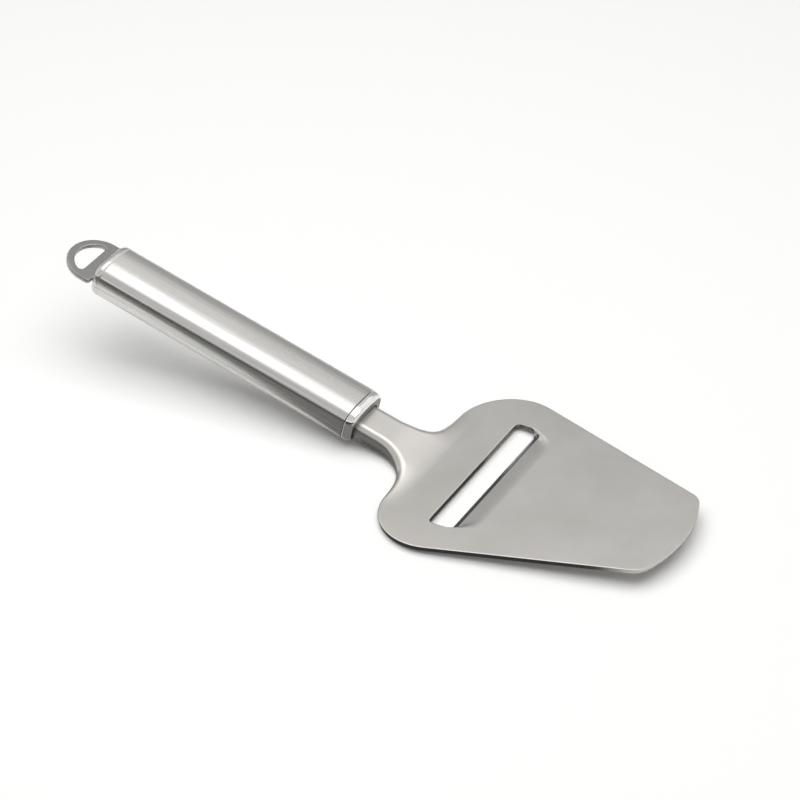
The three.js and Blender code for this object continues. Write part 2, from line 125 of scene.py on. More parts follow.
def factor(name, description, value):
    """A brightness or another share for the panel."""
    return FloatProperty(name=name, description=description, default=value, subtype="FACTOR", min=0.0,
                         soft_max=2.0)


def colour(name, description, hex_value):
    """A colour for the panel, given as an sRGB hex value."""
    return FloatVectorProperty(name=name, description=description, default=linear(hex_value), subtype="COLOR",
                               size=3, min=0.0, max=1.0)


def linear(hex_value):
    """The linear colour of an sRGB hex value, by the curve of the sRGB standard."""
    shares = [int(hex_value[i:i + 2], 16) / 255 for i in (1, 3, 5)]
    return [s / 12.92 if s <= 0.04045 else ((s + 0.055) / 1.055) ** 2.4 for s in shares]


class BladeSizes(bpy.types.PropertyGroup):
    """Sizes of the stamped blade."""
    thickness: length("Thickness", "Thickness of the sheet", 1.5)
    spade_length: length("Spade length", "From the slot's rear edge to the tip", 74.2)
    spade_width: length("Spade width", "Across the widest place, beside the slot", 82.5)
    taper: angle("Taper", "Turn of each side edge towards the tip", 17.5)
    heel_radius: length("Heel radius", "Radius of the spade's rear corners", 18.3)
    heel_slant: angle("Heel slant", "Turn of the rear edge against a square cut", 4)
    tip_radius: length("Tip radius", "Radius of the tip's round end", 45)
    tip_corner: length("Tip corner", "Radius of the tip's corners", 6.5)
    slot_length: length("Slot length", "Length of the cutting slot", 57)
    slot_width: length("Slot width", "Width of the cutting slot", 6.9)
    slot_corner: length("Slot corner", "Radius of the slot's corners", 1.6)
    lip_drop: length("Lip drop", "How far the cutting lip is pressed down", 1.6)
    lip_band: length("Lip band", "How far the hollow reaches towards the tip", 9)
    lip_fade: length("Lip fade", "Half of the stretch inside each slot end in which the lip drops", 0.6)
    lip_spread: factor("Lip spread", "How much wider that stretch is, per length away from the cutting edge",
                       0.3)
    lip_slant: factor("Lip slant", "How far the hollow's ends lean in, per length away from the cutting edge",
                      0.45)
    lip_grind: length("Lip grind", "Width of the ground bevel", 2)
    lip_edge: length("Lip edge", "Thickness left at the cutting edge", 0.5)
    neck_width: length("Neck width", "Width of the neck", 13.6)
    neck_fillet: length("Neck fillet", "Radius between neck and spade", 13)
    neck_rise: length("Neck rise", "Neck's top face over the handle's axis", 1.6)
    drop_start: length("Drop start", "From the tube's front end to where the neck starts to drop", 14)
    drop_length: length("Drop length", "Over which the neck comes down to the spade", 16)
    root_spread: length("Root spread", "From the middle line to where the neck's rise has run out", 28)
    root_fan: length("Root fan", "How far ahead of the rear edge its stations meet the middle line", 4)
    flange_front: length("Flange at the handle", "Depth of the neck's flange at the handle", 5)
    flange_root: length("Flange at the root", "Depth of the neck's flange at the spade", 5)
    bend_radius: length("Bend radius", "Outside radius of the neck's bent edges", 2.6)
    rim_turn: angle("Rim turn", "Slight roll of the sheared rim, which runs out round the tip", 10)
    rim_leg: length("Rim leg", "Straight stretch after the rim's roll", 0.2)
    tang_length: length("Tang length", "Channel inside the handle", 12)
    # The rim round the tip is painted a lighter grey, a painted highlight that fades in between these two
    painted_highlight_start: length("Polish start", "From the slot's rear edge to where the rim's polish starts", 58)
    painted_highlight_end: length("Polish end", "From the slot's rear edge to where the rim is fully polished", 70)
    edge_round: length("Edge round", "Rounding of the sheared edges", 0.18)


class HandleSizes(bpy.types.PropertyGroup):
    """Sizes and place of the handle."""
    setback: length("Setback", "Tube's front end behind the slot's rear edge", 42.3)
    rise: length("Rise", "Handle's axis above the blade at the tube's front end", 8.5)
    tilt: angle("Tilt", "Handle against the blade", 16.4)
    width: length("Width", "Width of the handle", 19.4)
    height: length("Height", "Height of the handle", 12.4)
    squareness: FloatProperty(name="Squareness", description="Exponent of the oval, where 2 is an ellipse",
                              default=3.2)
    tube_length: length("Tube length", "Length of the tube between its caps", 95.4)
    tube_wall: length("Tube wall", "Wall of the tube", 0.4)
    cap_length: length("Cap length", "What shows of a cap beyond the tube", 3.2)
    cap_wall: length("Cap wall", "Wall of a cap", 0.5)
    front_edge: length("Front edge", "Depth of the front cap's rounded edge, seen from its end", 1.1)
    front_lip: length("Front lip", "Length of the front cap's rounded edge along the handle", 2.5)
    rear_edge: length("Rear edge", "Radius of the rear cap's rounded edge", 2.1)
    cap_skirt: length("Cap skirt", "Part of a cap inside the tube", 6)
    gap: length("Gap", "Gap at each seam", 0.3)
    rear_seam: length("Rear seam", "Seam between tube and rear cap, which was brushed over", 0.03)
    neck_gap: length("Neck gap", "From the neck's top to the opening punched for it", 0.7)
    edge_round: length("Edge round", "Rounding of the tube's cut ends", 0.12)


class LoopSizes(bpy.types.PropertyGroup):
    """Sizes of the hanging loop."""
    thickness: length("Thickness", "Thickness of the plate", 1.6)
    radius: length("Radius", "Outside radius of the round end", 10.2)
    hole_radius: length("Hole radius", "Radius of the hole", 7.6)
    bar: length("Bar", "From the cap's face to the hole's straight edge", 5)
    reach: length("Reach", "From the cap's face to the loop's far end", 14)
    tang_width: length("Tang width", "Width of the tang", 12)
    tang_length: length("Tang length", "Length of the tang", 9)
    corner: length("Corner", "Radius of the hole's and the shoulders' corners", 1.4)
    edge_round: length("Edge round", "Rounding of the plate's edges", 0.4)


class SteelColours(bpy.types.PropertyGroup):
    """Colours of the steel finishes."""
    sheet: colour("Sheet", "Satin sheet of the blade", "#dad7d3")
    # Also the colour of the painted highlight round the tip's rim
    sheet_dark: colour("Sheet, dull", "Duller patches of the blade", "#cfccc7")
    # Colour of the top edges, painted darker than the sheet: painted shade that dims their line of light
    edge: colour("Edge", "Rubbed edges of the blade", "#cbc7c2")
    # The ground bevel's dark grey is painted shade for the shadowed table it reflects; its streaks are real
    ground: colour("Ground bevel", "Ground bevel of the cutting lip", "#918e94")
    ground_dark: colour("Ground bevel, streaks", "Bottom of the grinding streaks", "#78757b")
    # The cut wall's dark grey is partly its own dull grey and partly painted shade for the shadowed table it
    # reflects
    sheared: colour("Sheared wall", "Cut wall of the sheet", "#7d7a77")
    sheared_dark: colour("Sheared wall, tears", "Bottom of the tears in the cut wall", "#64615e")
    tube: colour("Tube", "Brushed tube of the handle", "#e8e6e3")
    tube_dark: colour("Tube, scratches", "Bottom of the brushed scratches", "#bdbcb8")
    cap: colour("Cap", "Polished lip of the front cap", "#f1f0ee")
    # The cap face's dark grey is painted shade for the shadowed table it reflects; its marks are real
    face: colour("Cap face", "Dull face of the front cap", "#75726f")
    face_dark: colour("Cap face, marks", "Bottom of the face's marks", "#696663")
    loop: colour("Loop", "Tumbled loop", "#a9a7a4")
    loop_dark: colour("Loop, dents", "Bottom of the loop's dents", "#979592")
    weld: colour("Weld", "Bare weld metal", "#9a948c")
    weld_tint: colour("Weld, tint", "Darker ripples of the weld", "#6f675e")


class StageSettings(bpy.types.PropertyGroup):
    """Camera, table and light."""
    azimuth: angle("Camera azimuth", "Camera's direction round the object", 30.65)
    elevation: angle("Camera elevation", "Camera's height above the horizon", 37.86)
    roll: angle("Camera roll", "Turn of the picture", 0.28)
    aim: FloatVectorProperty(name="Camera aim", description="Point in the middle of the picture",
                             default=(12.3 * MM, 0.0, 20.3 * MM), subtype="TRANSLATION", unit="LENGTH")
    distance: metres("Camera distance", "From the aim to the camera", 1.0)
    lens: FloatProperty(name="Lens", description="Focal length on the 36 mm sensor", default=142.65,
                        unit="CAMERA")
    table: colour("Table", "Colour of the table", "#f8f8f7")
    table_bounce: colour("Table, bounce", "Colour of the light that the table throws back", "#c9c9c8")
    table_lift: factor("Table lift", "Light added to the table as it is seen, where 1 is white", 0.02)
    far_lift: factor("Far lift", "Light added to the table as it is seen where the lamps don't reach", 0.7)
    lift_start: metres("Lift start", "From the object to where the lamps' light on the table fades", 0.35)
    lift_end: metres("Lift end", "From the object to where the lamps' light on the table has run out", 1.4)
    overhead: factor("Overhead", "Brightness of the studio's ceiling, where 1 is white", 0.65)
    fill: factor("Fill", "Share of the studio's white that lights matt surfaces", 0.25)
    back_wall: factor("Back wall", "Brightness of the wall behind the object", 0.45)
    back_wall_height: metres("Back wall height", "Height of the wall behind the object", 1.22)
    back_wall_end: metres("Back wall end", "Where the wall behind the object ends towards the tip", 0.3)
    back_distance: metres("Back wall distance", "From the object to the wall behind it", 1.4)
    white_card: factor("White card", "Brightness of the card behind the tip, which the front cap shows", 1.0)
    white_card_size: metres("White card size", "Length of each side of the white card", 0.85)
    white_card_start: metres("White card start", "Where the white card starts towards the tip", 0.14)
    white_card_low: metres("White card height", "From the table to the white card", 0.95)
    front_wall: factor("Front wall", "Brightness of the wall in front of the object", 0.05)
    front_wall_height: metres("Front wall height", "Height of the wall in front of the object", 0.15)
    front_distance: metres("Front wall distance", "From the object to the wall in front of it", 0.36)
    dark_card: factor("Dark card", "Brightness of the dark card in front of the tool", 0.21)
    dark_card_gap: metres("Dark card gap", "From the tool's middle to the dark card in front of it", 0.0065)
    dark_card_turn: angle("Dark card turn", "Turn of the dark card, away from the handle's raised end", 22)
    dark_card_end: metres("Dark card end", "Where the dark card ends towards the tip", 0.08)
    softbox: factor("Softbox", "Brightness of the long softbox above the object, where 1 is white", 1.22)
    softbox_angle: angle("Softbox angle", "Height of the long softbox over the horizon behind the tool", 73)
    softbox_length: metres("Softbox length", "Length of the long softbox along the tool", 1.4)
    softbox_depth: metres("Softbox depth", "Depth of the long softbox across the tool", 0.66)
    ceiling_box: factor("Ceiling box", "Brightness of the square softbox overhead, where 1 is white", 2.4)
    ceiling_size: metres("Ceiling box size", "Length of each side of the square softbox", 1.35)
    ceiling_angle: angle("Ceiling box angle", "Turn of the square softbox from overhead to the front", 3)
    lamp_distance: metres("Lamp distance", "From the object to each softbox", 1.0)


# Where the tool lies on the table, as the solids have it
REST_SHIFT = (39.26603 * MM, 0, 2.65477 * MM)
REST_TILT = math.radians(-3.647402)
TOOL_PLACE = Matrix.Translation(REST_SHIFT) @ Matrix.Rotation(REST_TILT, 4, "Y")


def handle_place(handle):
    """The handle's own frame: its axis is X, and the tube's front end is at the origin."""
    front = Matrix.Translation((-handle.setback, 0, handle.rise))
    return TOOL_PLACE @ front @ Matrix.Rotation(handle.tilt, 4, "Y")


# Helpers for meshes

def blend(first, last, share):
    """A value on the way from first to last."""
    return first + (last - first) * share


def smooth_step(value, low, high):
    """0 below low, 1 above high and a smooth rise between them."""
    share = min(max((value - low) / (high - low), 0.0), 1.0)
    return share * share * (3 - 2 * share)


def steps(first, last, count):
    """Evenly spaced values, both ends included."""
    return [blend(first, last, i / count) for i in range(count + 1)]


def only(kind, items):
    """The items of one kind, in their order."""
    return [item for item in items if isinstance(item, kind)]


def mirrored(places):
    """The same places on the other side of the middle plane."""
    return [Vector((p.x, -p.y, p.z)) for p in places]


def add_piece(bm, name, place, nodes, materials):
    """Puts a finished mesh in the scene at its place, on the body and in the stead of its solids."""
    bm.transform(place)
    mesh = bpy.data.meshes.new(name)
    bm.to_mesh(mesh)
    bm.free()
    piece = bpy.data.objects.new(name, mesh)
    bpy.context.scene.collection.objects.link(piece)
    for material in materials:
        mesh.materials.append(material)
    mesh.shade_smooth()
    weighted = piece.modifiers.new("Even shading", "WEIGHTED_NORMAL")
    weighted.keep_sharp = True
    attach(piece, BODY)
    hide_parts(*nodes)
    return piece


def round_edges(bm, edges, offset, segments):
    """Rounds edges and returns the new faces."""
    made = bmesh.ops.bevel(bm, geom=edges, offset=offset, offset_type="OFFSET", segments=segments,
                           profile=0.5, affect="EDGES", clamp_overlap=True, material=-1)
    return made["faces"]


def sharp_edges(bm):
    """Edges whose two faces meet at more than the sharp angle."""
    return [e for e in bm.edges if len(e.link_faces) == 2 and e.calc_face_angle() > SHARP]


def cut_away(bm, tool):
    """Cuts the solid of one mesh out of another."""
    objects = []
    for name, source in (("cut body", bm), ("cut tool", tool)):
        mesh = bpy.data.meshes.new(name)
        source.to_mesh(mesh)
        objects.append(bpy.data.objects.new(name, mesh))
        bpy.context.scene.collection.objects.link(objects[-1])
    tool.free()
    body, cutter = objects
    modifier = body.modifiers.new("Cut", "BOOLEAN")
    modifier.operation = "DIFFERENCE"
    modifier.solver = "EXACT"
    modifier.object = cutter
    evaluated = body.evaluated_get(bpy.context.evaluated_depsgraph_get())
    bm.clear()
    bm.from_mesh(evaluated.to_mesh())
    evaluated.to_mesh_clear()
    for item in objects:
        mesh = item.data
        bpy.data.objects.remove(item)
        bpy.data.meshes.remove(mesh)


# Blade

def arc(centre, radius, first, last, count):
    """Places on the rim along an arc, each with its direction of travel."""
    return [(centre + radius * Vector((-math.sin(h), math.cos(h))), h) for h in steps(first, last, count)]


class BladeForm:
    """The formed sheet, in the blade's frame: the origin is the middle of the slot's rear edge, on top."""

    def __init__(self, blade, handle):
        self.blade = blade
        self.handle = handle
        self.neck_half = blade.neck_width / 2
        self.drop_from = blade.drop_start - handle.setback
        self.drop_to = self.drop_from + blade.drop_length
        self.cap_face = handle.cap_length * math.cos(handle.tilt) - handle.setback
        self.tang_end = self.cap_face - blade.tang_length * math.cos(handle.tilt)
        self.inner_radius = blade.bend_radius - blade.thickness

    def neck_line(self, x):
        """Height of the neck's straight stretch, which runs along the handle."""
        above = self.blade.neck_rise / math.cos(self.handle.tilt)
        return self.handle.rise + above - (x + self.handle.setback) * math.tan(self.handle.tilt)

    def middle_height(self, x):
        """Height of the top face on the middle line: along the handle, a smooth drop, then level."""
        if x <= self.drop_from:
            return self.neck_line(x)
        if x >= self.drop_to:
            return 0.0
        share = (x - self.drop_from) / self.blade.drop_length
        fall = 1 - 3 * share ** 2 + 2 * share ** 3
        slope = -math.tan(self.handle.tilt) * self.blade.drop_length
        return self.neck_line(self.drop_from) * fall + slope * share * (1 - share) ** 2

    def height(self, place):
        """Height of the top face. Beside the neck's root its rise runs out along the rear edge."""
        run_out = smooth_step(abs(place.y), self.neck_half, self.blade.root_spread)
        return self.middle_height(place.x) * (1 - run_out)

    def edge_depth(self, rim):
        """Depth of the turned-down edge, which runs out as the sheet comes down to the spade."""
        blade = self.blade
        if rim.x <= self.drop_from:
            share = (max(rim.x, self.cap_face) - self.cap_face) / (self.drop_from - self.cap_face)
            return blend(blade.flange_front, blade.flange_root, share)
        share = max(self.height(rim), 0) / self.neck_line(self.drop_from)
        return blend(blade.thickness, blade.flange_root, share)

    def rim_bend(self, rim, out, least_turn):
        """Where the bend at a place on the rim starts, the sheet's slope there, its turn and its leg.
        The start and the slope depend on each other, so they settle in a few rounds."""
        blade = self.blade
        bottom = self.height(rim) - self.edge_depth(rim)
        start = rim.copy()
        for _ in range(SETTLING_ROUNDS):
            rise = self.height(start + SLOPE_STEP * out) - self.height(start - SLOPE_STEP * out)
            lift = math.atan(rise / (2 * SLOPE_STEP))
            spare = blade.bend_radius * math.cos(lift) - self.height(start) + bottom
            turn = max(math.acos(min(max(spare / self.inner_radius, 0), 1)), least_turn)
            leg = max(-spare, blade.rim_leg)
            reach = blade.bend_radius * (math.sin(turn) + math.sin(lift)) + leg * math.cos(turn)
            start = rim - reach * out
        return start, lift, turn, leg

    def outline(self):
        """Stations along half the rim, from the tang's end to the tip."""
        blade = self.blade
        heel_centre = Vector((0, blade.spade_width / 2 - blade.heel_radius))
        heel_heading = math.pi / 2 - blade.heel_slant
        heel = arc(heel_centre, blade.heel_radius, heel_heading, -blade.taper, HEEL_STEPS)
        fillet_y = self.neck_half + blade.neck_fillet * (1 - math.cos(heel_heading))
        fillet_x = heel[0][0].x - (heel[0][0].y - fillet_y) * math.tan(blade.heel_slant)
        fillet_centre = Vector((fillet_x - blade.neck_fillet * math.sin(heel_heading),
                                self.neck_half + blade.neck_fillet))
        fillet = arc(fillet_centre, -blade.neck_fillet, 0, heel_heading, ARC_STEPS)
        tip_centre = Vector((blade.spade_length - blade.tip_radius, 0))
        corner_centre = self.tip_corner_centre(heel_centre, tip_centre)
        tip_heading = math.atan2(corner_centre.y, corner_centre.x - tip_centre.x) - math.pi / 2
        corner = arc(corner_centre, blade.tip_corner, -blade.taper, tip_heading, ARC_STEPS)
        last_heading = blend(tip_heading, -math.pi / 2, 1 - 1 / ARC_STEPS)
        tip = arc(tip_centre, blade.tip_radius, tip_heading, last_heading, ARC_STEPS)
        neck_places = [self.tang_end, *steps(self.cap_face, fillet[0][0].x, NECK_STEPS)[:-1]]
        neck = [(Vector((x, self.neck_half)), 0.0) for x in neck_places]
        rear = [(fillet[-1][0].lerp(heel[0][0], s), heel_heading) for s in steps(0, 1, REAR_STEPS)[1:-1]]
        return [*neck, *fillet, *rear, *heel, *self.side(heel[-1], corner[0]), *corner, *tip[1:]]

    def side(self, first, last):
        """Stations along the straight side edge: close together over the lip's hollow, then wider."""
        blade = self.blade
        hollow_end = blade.slot_width + blade.lip_band
        grind_end = blade.slot_width + blade.lip_grind
        places = [
            *steps(blade.slot_width, grind_end, GRIND_STEPS),
            *steps(grind_end, hollow_end, LIP_STEPS)[1:],
            *steps(hollow_end, last[0].x, SIDE_STEPS)[1:-1],
        ]
        span = last[0].x - first[0].x
        return [(first[0].lerp(last[0], (x - first[0].x) / span), last[1]) for x in places]

    def tip_corner_centre(self, heel_centre, tip_centre):
        """Centre of the tip's corner, inside both the side edge and the tip's arc by its radius."""
        blade = self.blade
        inset = blade.heel_radius - blade.tip_corner
        start = heel_centre + inset * Vector((math.sin(blade.taper), math.cos(blade.taper)))
        along = Vector((math.cos(blade.taper), -math.sin(blade.taper)))
        offset = start - tip_centre
        half = offset.dot(along)
        room = (blade.tip_radius - blade.tip_corner) ** 2 - offset.length_squared
        return start + along * (math.sqrt(half * half + room) - half)

    def section(self, station, inset=0.0, longer=0.0):
        """Half a face of the sheet across one station: out from the middle line, then bent down square to
        the rim. The inset goes down from the top face, and the leg at the rim can be longer."""
        rim, heading = station
        facing = max(heading, 0.0)
        out = Vector((-math.sin(facing), math.cos(facing)))
        roll = self.blade.rim_turn * math.cos(min(heading, 0.0))
        start, lift, turn, leg = self.rim_bend(rim, out, roll)
        outside = self.blade.bend_radius
        radius = outside - inset
        middle = Vector((rim.x + self.blade.root_fan * math.sin(facing), 0))
        half = []
        first, last = LIP_END_SHARES
        inner = steps(0, first, FLAT_STEPS)[:-1]
        outer = steps(last, 1, OUTER_STEPS)[1:-1]
        for share in [*inner, *steps(first, last, LIP_END_STEPS), *outer]:
            place = middle.lerp(start, share)
            half.append(Vector((place.x, place.y, self.height(place) - inset)))
        for bend in steps(-lift, turn, BEND_STEPS):
            place = start + (outside * math.sin(lift) + radius * math.sin(bend)) * out
            drop = outside * math.cos(lift) - radius * math.cos(bend)
            half.append(Vector((place.x, place.y, self.height(start) - drop)))
        leg += longer
        end = half[-1] + leg * math.cos(turn) * out.to_3d() - Vector((0, 0, leg * math.sin(turn)))
        return [*half, end]

    def lip_depth(self, x, y):
        """How far the sheet is pressed down beside the slot, deepest at the cutting edge."""
        blade = self.blade
        from_edge = (x - blade.slot_width) / (blade.slot_width if x < blade.slot_width else blade.lip_band)
        beyond = max(x - blade.slot_width, 0.0)
        end = blade.slot_length / 2 - blade.lip_slant * beyond
        past_end = (abs(y) - end) / (2 * (blade.lip_fade + blade.lip_spread * beyond)) + 1
        return blade.lip_drop * smooth_step(1 - abs(from_edge), 0, 1) * smooth_step(1 - past_end, 0, 1)

    def slot_planes(self):
        """The planes round the slot, each a point and a way out of it: straight sides, then the corners."""
        blade = self.blade
        sides, corners = [], []
        for x_side, y_side in ((1, 1), (-1, 1), (-1, -1), (1, -1)):
            centre = Vector((blade.slot_width * (1 + x_side) / 2 - x_side * blade.slot_corner,
                             y_side * (blade.slot_length / 2 - blade.slot_corner), 0))
            for turn in steps(0, math.pi / 2, CORNER_CUTS):
                out = Vector((x_side * math.cos(turn), y_side * math.sin(turn), 0))
                straight = min(abs(out.x), abs(out.y)) < TOUCH
                (sides if straight else corners).append((centre + blade.slot_corner * out, out))
        return sides + corners

    def on_lip(self, place):
        """Whether a place is on the ground bevel of the cutting lip."""
        blade = self.blade
        along = blade.slot_width - TOUCH < place.x < blade.slot_width + blade.lip_grind + TOUCH
        return along and abs(place.y) < blade.slot_length / 2 - blade.slot_corner + TOUCH


def lay_sheet(bm, form):
    """Lays a grid with a column for each station along the rim, and moves it onto the sheet's top face."""
    sections = [form.section(station) for station in form.outline()]
    half_rows = len(sections[0]) - 1
    columns = len(sections) - 1
    bmesh.ops.create_grid(bm, x_segments=columns, y_segments=2 * half_rows, size=GRID_HALF)
    for vert in bm.verts:
        column = round((vert.co.x + GRID_HALF) * columns)
        row = round((vert.co.y + GRID_HALF) * 2 * half_rows) - half_rows
        place = sections[column][abs(row)]
        vert.co = (place.x, place.y if row >= 0 else -place.y, place.z)


def punch_slot(bm, form):
    """Cuts the sheet along the planes round the slot and takes out the faces inside them all."""
    reach = form.blade.slot_width
    inside = [f for f in bm.faces if -reach < f.calc_center_median().x < 2 * reach]
    for point, out in form.slot_planes():
        edges = dict.fromkeys(e for f in inside for e in f.edges)
        verts = dict.fromkeys(v for f in inside for v in f.verts)
        made = bmesh.ops.bisect_plane(bm, geom=[*inside, *edges, *verts], dist=TOUCH, plane_co=point,
                                      plane_no=out)
        faces = only(bmesh.types.BMFace, made["geom"])
        inside = [f for f in faces if (f.calc_center_median() - point).dot(out) < 0]
    bmesh.ops.delete(bm, geom=inside, context="FACES")


def press_sheet(bm, form):
    """The blade's top face, which looks up: the sheet, its punched slot and its pressed lip."""
    lay_sheet(bm, form)
    punch_slot(bm, form)
    for vert in bm.verts:
        vert.co.z -= form.lip_depth(vert.co.x, vert.co.y)
    bmesh.ops.recalc_face_normals(bm, faces=bm.faces)
    if sum(f.normal.z for f in bm.faces) < 0:
        bmesh.ops.reverse_faces(bm, faces=bm.faces)


def grind_lip(bm, form, ground):
    """Lowers the lip's top face to a straight ramp that ends in the cutting edge."""
    blade = form.blade
    bevel_end = blade.slot_width + blade.lip_grind
    edge_height = blade.lip_edge - blade.lip_drop - blade.thickness
    for vert in bm.verts:
        place = vert.co
        above = place.z > -form.lip_depth(place.x, place.y) - blade.thickness / 2
        if above and form.on_lip(place):
            share = (place.x - blade.slot_width) / blade.lip_grind
            vert.co.z = blend(edge_height, -form.lip_depth(bevel_end, 0), share)
    for face in bm.faces:
        centre = face.calc_center_median()
        if face.normal.z > LEVEL and form.on_lip(centre) and centre.x < bevel_end:
            face.material_index = ground


def make_blade(blade, handle, sheet, ground, sheared):
    """The blade: pressed sheet, thickness, ground bevel and rounded edges. Its three finishes are given by
    their numbers."""
    form = BladeForm(blade, handle)
    bm = bmesh.new()
    press_sheet(bm, form)
    top = {v.co.copy().freeze() for v in bm.verts}
    bmesh.ops.solidify(bm, geom=bm.faces[:], thickness=blade.thickness)
    bmesh.ops.recalc_face_normals(bm, faces=bm.faces)

    def on_top(vert):
        """Whether a point is still where the top face had it."""
        return vert.co.copy().freeze() in top

    lower = [e for e in sharp_edges(bm) if not any(map(on_top, e.verts))]
    below = set(lower)
    for face in bm.faces:
        if not below.isdisjoint(face.edges) and any(map(on_top, face.verts)):
            face.material_index = sheared
    grind_lip(bm, form, ground)
    off_lip = [e for e in lower if not all(form.on_lip(v.co) for v in e.verts)]
    round_edges(bm, off_lip, blade.edge_round, EDGE_STEPS)
    upper = [e for e in sharp_edges(bm) if all(map(on_top, e.verts))]
    # The rounded top edges get painted shade, which dims the line of light along them
    edge_shade = bm.verts.layers.float.new(EDGE_SHADE)
    for face in round_edges(bm, upper, blade.edge_round, EDGE_STEPS):
        face.material_index = sheet
        for vert in face.verts:
            vert[edge_shade] = 1.0
    bmesh.ops.remove_doubles(bm, verts=bm.verts, dist=SAME_PLACE)
    bmesh.ops.dissolve_degenerate(bm, edges=bm.edges, dist=SAME_PLACE)
    # The painted highlight on the rim round the tip, rising from 0 to 1
    painted_highlight = bm.verts.layers.float.new(TIP_HIGHLIGHT)
    for vert in bm.verts:
        vert[painted_highlight] = smooth_step(vert.co.x, blade.painted_highlight_start, blade.painted_highlight_end)
    return bm


# Handle

def extrude_oval(bm, handle, rings):
    """Extrudes the handle's oval through rings, each a place on the axis and an inset from the outside.
    Returns the first and the last loop of edges."""
    verts = bmesh.ops.create_circle(bm, cap_ends=False, segments=OVAL_STEPS, radius=1.0)["verts"]
    power = 2 / handle.squareness
    for vert in verts:
        y, z = vert.co.x, vert.co.y
        vert.co = (0, math.copysign(abs(y) ** power, y), math.copysign(abs(z) ** power, z))
    first = list(dict.fromkeys(e for v in verts for e in v.link_edges))
    edges = first
    at, wide, high = 0.0, 1.0, 1.0
    for number, (x, inset) in enumerate(rings):
        if number:
            made = bmesh.ops.extrude_edge_only(bm, edges=edges)["geom"]
            verts = only(bmesh.types.BMVert, made)
            ring = set(verts)
            edges = [e for e in only(bmesh.types.BMEdge, made) if ring.issuperset(e.verts)]
        new_wide = handle.width / 2 - inset
        new_high = handle.height / 2 - inset
        bmesh.ops.scale(bm, vec=(1, new_wide / wide, new_high / high), verts=verts)
        bmesh.ops.translate(bm, vec=(x - at, 0, 0), verts=verts)
        at, wide, high = x, new_wide, new_high
    return first, edges


def make_tube(handle):
    """The hollow tube, open at both ends, with its cut edges rounded."""
    rear = -handle.tube_length
    bm = bmesh.new()
    rings = [(0, 0), (rear, 0), (rear, handle.tube_wall), (0, handle.tube_wall)]
    first, last = extrude_oval(bm, handle, rings)
    bmesh.ops.bridge_loops(bm, edges=[*first, *last])
    bmesh.ops.recalc_face_normals(bm, faces=bm.faces)
    round_edges(bm, sharp_edges(bm), handle.edge_round, EDGE_STEPS)
    return bm


def make_cup(handle, edge, lip, seam):
    """A drawn cup: face, rounded edge, band beyond the tube and skirt inside it. It faces +X."""
    skirt = handle.tube_wall + handle.gap
    inside = handle.cap_length - handle.cap_wall
    turns = steps(0, math.pi / 2, CAP_STEPS)
    rounded = [(handle.cap_length - lip * (1 - math.cos(a)), edge * (1 - math.sin(a))) for a in turns]
    rings = [
        *rounded,
        (seam, 0),
        (seam, skirt),
        (-handle.cap_skirt, skirt),
        (-handle.cap_skirt, skirt + handle.cap_wall),
        (inside - edge / 2, skirt + handle.cap_wall),
        (inside, edge + handle.cap_wall),
    ]
    bm = bmesh.new()
    for loop in extrude_oval(bm, handle, rings):
        bmesh.ops.contextual_create(bm, geom=loop)
    bmesh.ops.recalc_face_normals(bm, faces=bm.faces)
    return bm


def neck_cutter(blade, handle):
    """The neck's channel grown by the gap, in the handle's frame: the opening punched in the front cap."""
    form = BladeForm(blade, handle)
    station = (Vector((form.tang_end, form.neck_half)), 0.0)
    upper = form.section(station, -handle.neck_gap, handle.gap)
    lower = form.section(station, blade.thickness + handle.gap, handle.gap)
    half = [*upper, *reversed(lower)]
    other_half = mirrored([*lower[1:], *reversed(upper[1:])])
    bm = bmesh.new()
    face = bm.faces.new([bm.verts.new(p) for p in [*half, *other_half]])
    made = bmesh.ops.extrude_face_region(bm, geom=[face])
    along = blade.tang_length + 2 * handle.cap_length
    push = Vector((math.cos(handle.tilt), 0, -math.sin(handle.tilt))) * along
    bmesh.ops.translate(bm, vec=push, verts=only(bmesh.types.BMVert, made["geom"]))
    bmesh.ops.recalc_face_normals(bm, faces=bm.faces)
    bm.transform((TOOL_PLACE.inverted() @ handle_place(handle)).inverted())
    return bm


def make_front_cap(blade, handle, dull):
    """The front cap, punched for the neck. Its flat face has the finish with the number given, whose dark
    grey is painted shade.
    """
    bm = make_cup(handle, handle.front_edge, handle.front_lip, handle.gap)
    cut_away(bm, neck_cutter(blade, handle))
    for face in bm.faces:
        if face.calc_center_median().x > handle.cap_length - TOUCH:
            face.material_index = dull
    return bm


def rear_face(handle):
    """Where the rear cap's face is on the handle's axis."""
    return -handle.tube_length - handle.cap_length


def make_rear_cap(handle, loop):
    """The rear cap, punched for the loop's tang."""
    bm = make_cup(handle, handle.rear_edge, handle.rear_edge, handle.rear_seam)
    bmesh.ops.rotate(bm, cent=(0, 0, 0), matrix=Matrix.Rotation(math.pi, 3, "Z"), verts=bm.verts)
    bmesh.ops.translate(bm, vec=(-handle.tube_length, 0, 0), verts=bm.verts)
    cutter = bmesh.new()
    size = [side + 2 * handle.gap for side in (loop.tang_length, loop.tang_width, loop.thickness)]
    bmesh.ops.create_cube(cutter, size=1.0)
    bmesh.ops.scale(cutter, vec=size, verts=cutter.verts)
    bmesh.ops.translate(cutter, vec=(rear_face(handle) + loop.tang_length / 2, 0, 0), verts=cutter.verts)
    cut_away(bm, cutter)
    return bm


def on_circle(centre, radius, turn):
    """A place on a circle in the loop's plane."""
    return centre + radius * Vector((math.cos(turn), math.sin(turn), 0))


